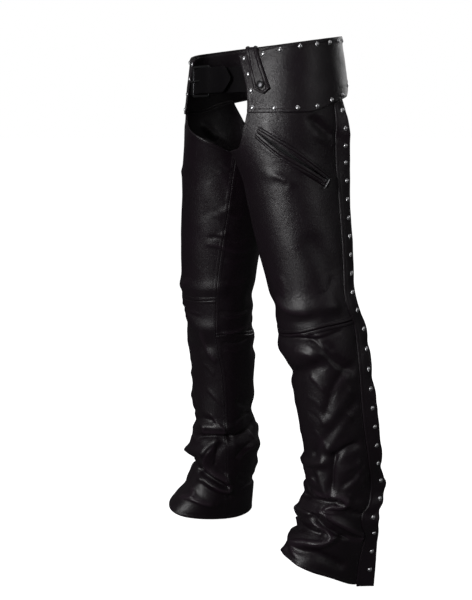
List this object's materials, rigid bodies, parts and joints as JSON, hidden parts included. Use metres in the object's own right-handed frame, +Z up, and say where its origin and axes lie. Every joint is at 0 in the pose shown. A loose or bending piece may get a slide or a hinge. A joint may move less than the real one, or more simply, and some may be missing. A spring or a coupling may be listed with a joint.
{
  "type": "studded leather chaps",
  "caption": "Leather chaps in their hanging worn form: hollow legs open in front and behind, studded yoke and outseam flaps, buckled belt, snap tab and zipped slant pocket.",
  "frame": {"origin": "middle of the waist, level with the belt's centre line, where the garment is held", "axes": "+X the garment's left, -Y its front, +Z up"},
  "size_m": [0.5721, 0.2816, 1.1124],
  "materials": {
    "black_leather": "soft satin garment leather",
    "belt_leather": "matte bridle leather",
    "zip_tape": "woven tape",
    "polished_steel": "polished",
    "dark_steel": "dark nickel"
  },
  "bodies": {
    "garment": {"belt_strap_left": "belt_leather", "belt_strap_right": "belt_leather", "buckle_frame": "dark_steel", "buckle_prong": "dark_steel", "left_calf_back": "black_leather", "left_calf_front": "black_leather", "left_flap": "black_leather", "left_thigh_back": "black_leather", "left_thigh_front": "black_leather", "loop_tab": "black_leather", "pocket_welt_lower": "black_leather", "pocket_welt_upper": "black_leather", "pocket_zip": "zip_tape", "right_calf_back": "black_leather", "right_calf_front": "black_leather", "right_flap": "black_leather", "right_thigh_back": "black_leather", "right_thigh_front": "black_leather", "tab_snap": "dark_steel", "yoke_left": "black_leather", "yoke_right": "black_leather", "zip_slider": "dark_steel"},
    "pull": {"zip_pull": "polished_steel"}
  },
  "joints": [
    {"name": "pull_hinge", "type": "hinge", "parent": "garment", "child": "pull", "pos_m": [0.2037, 0.01185, -0.18275], "axis": [-0.0478, -0.8501, 0.5244], "range_deg": [0, 120]}
  ]
}
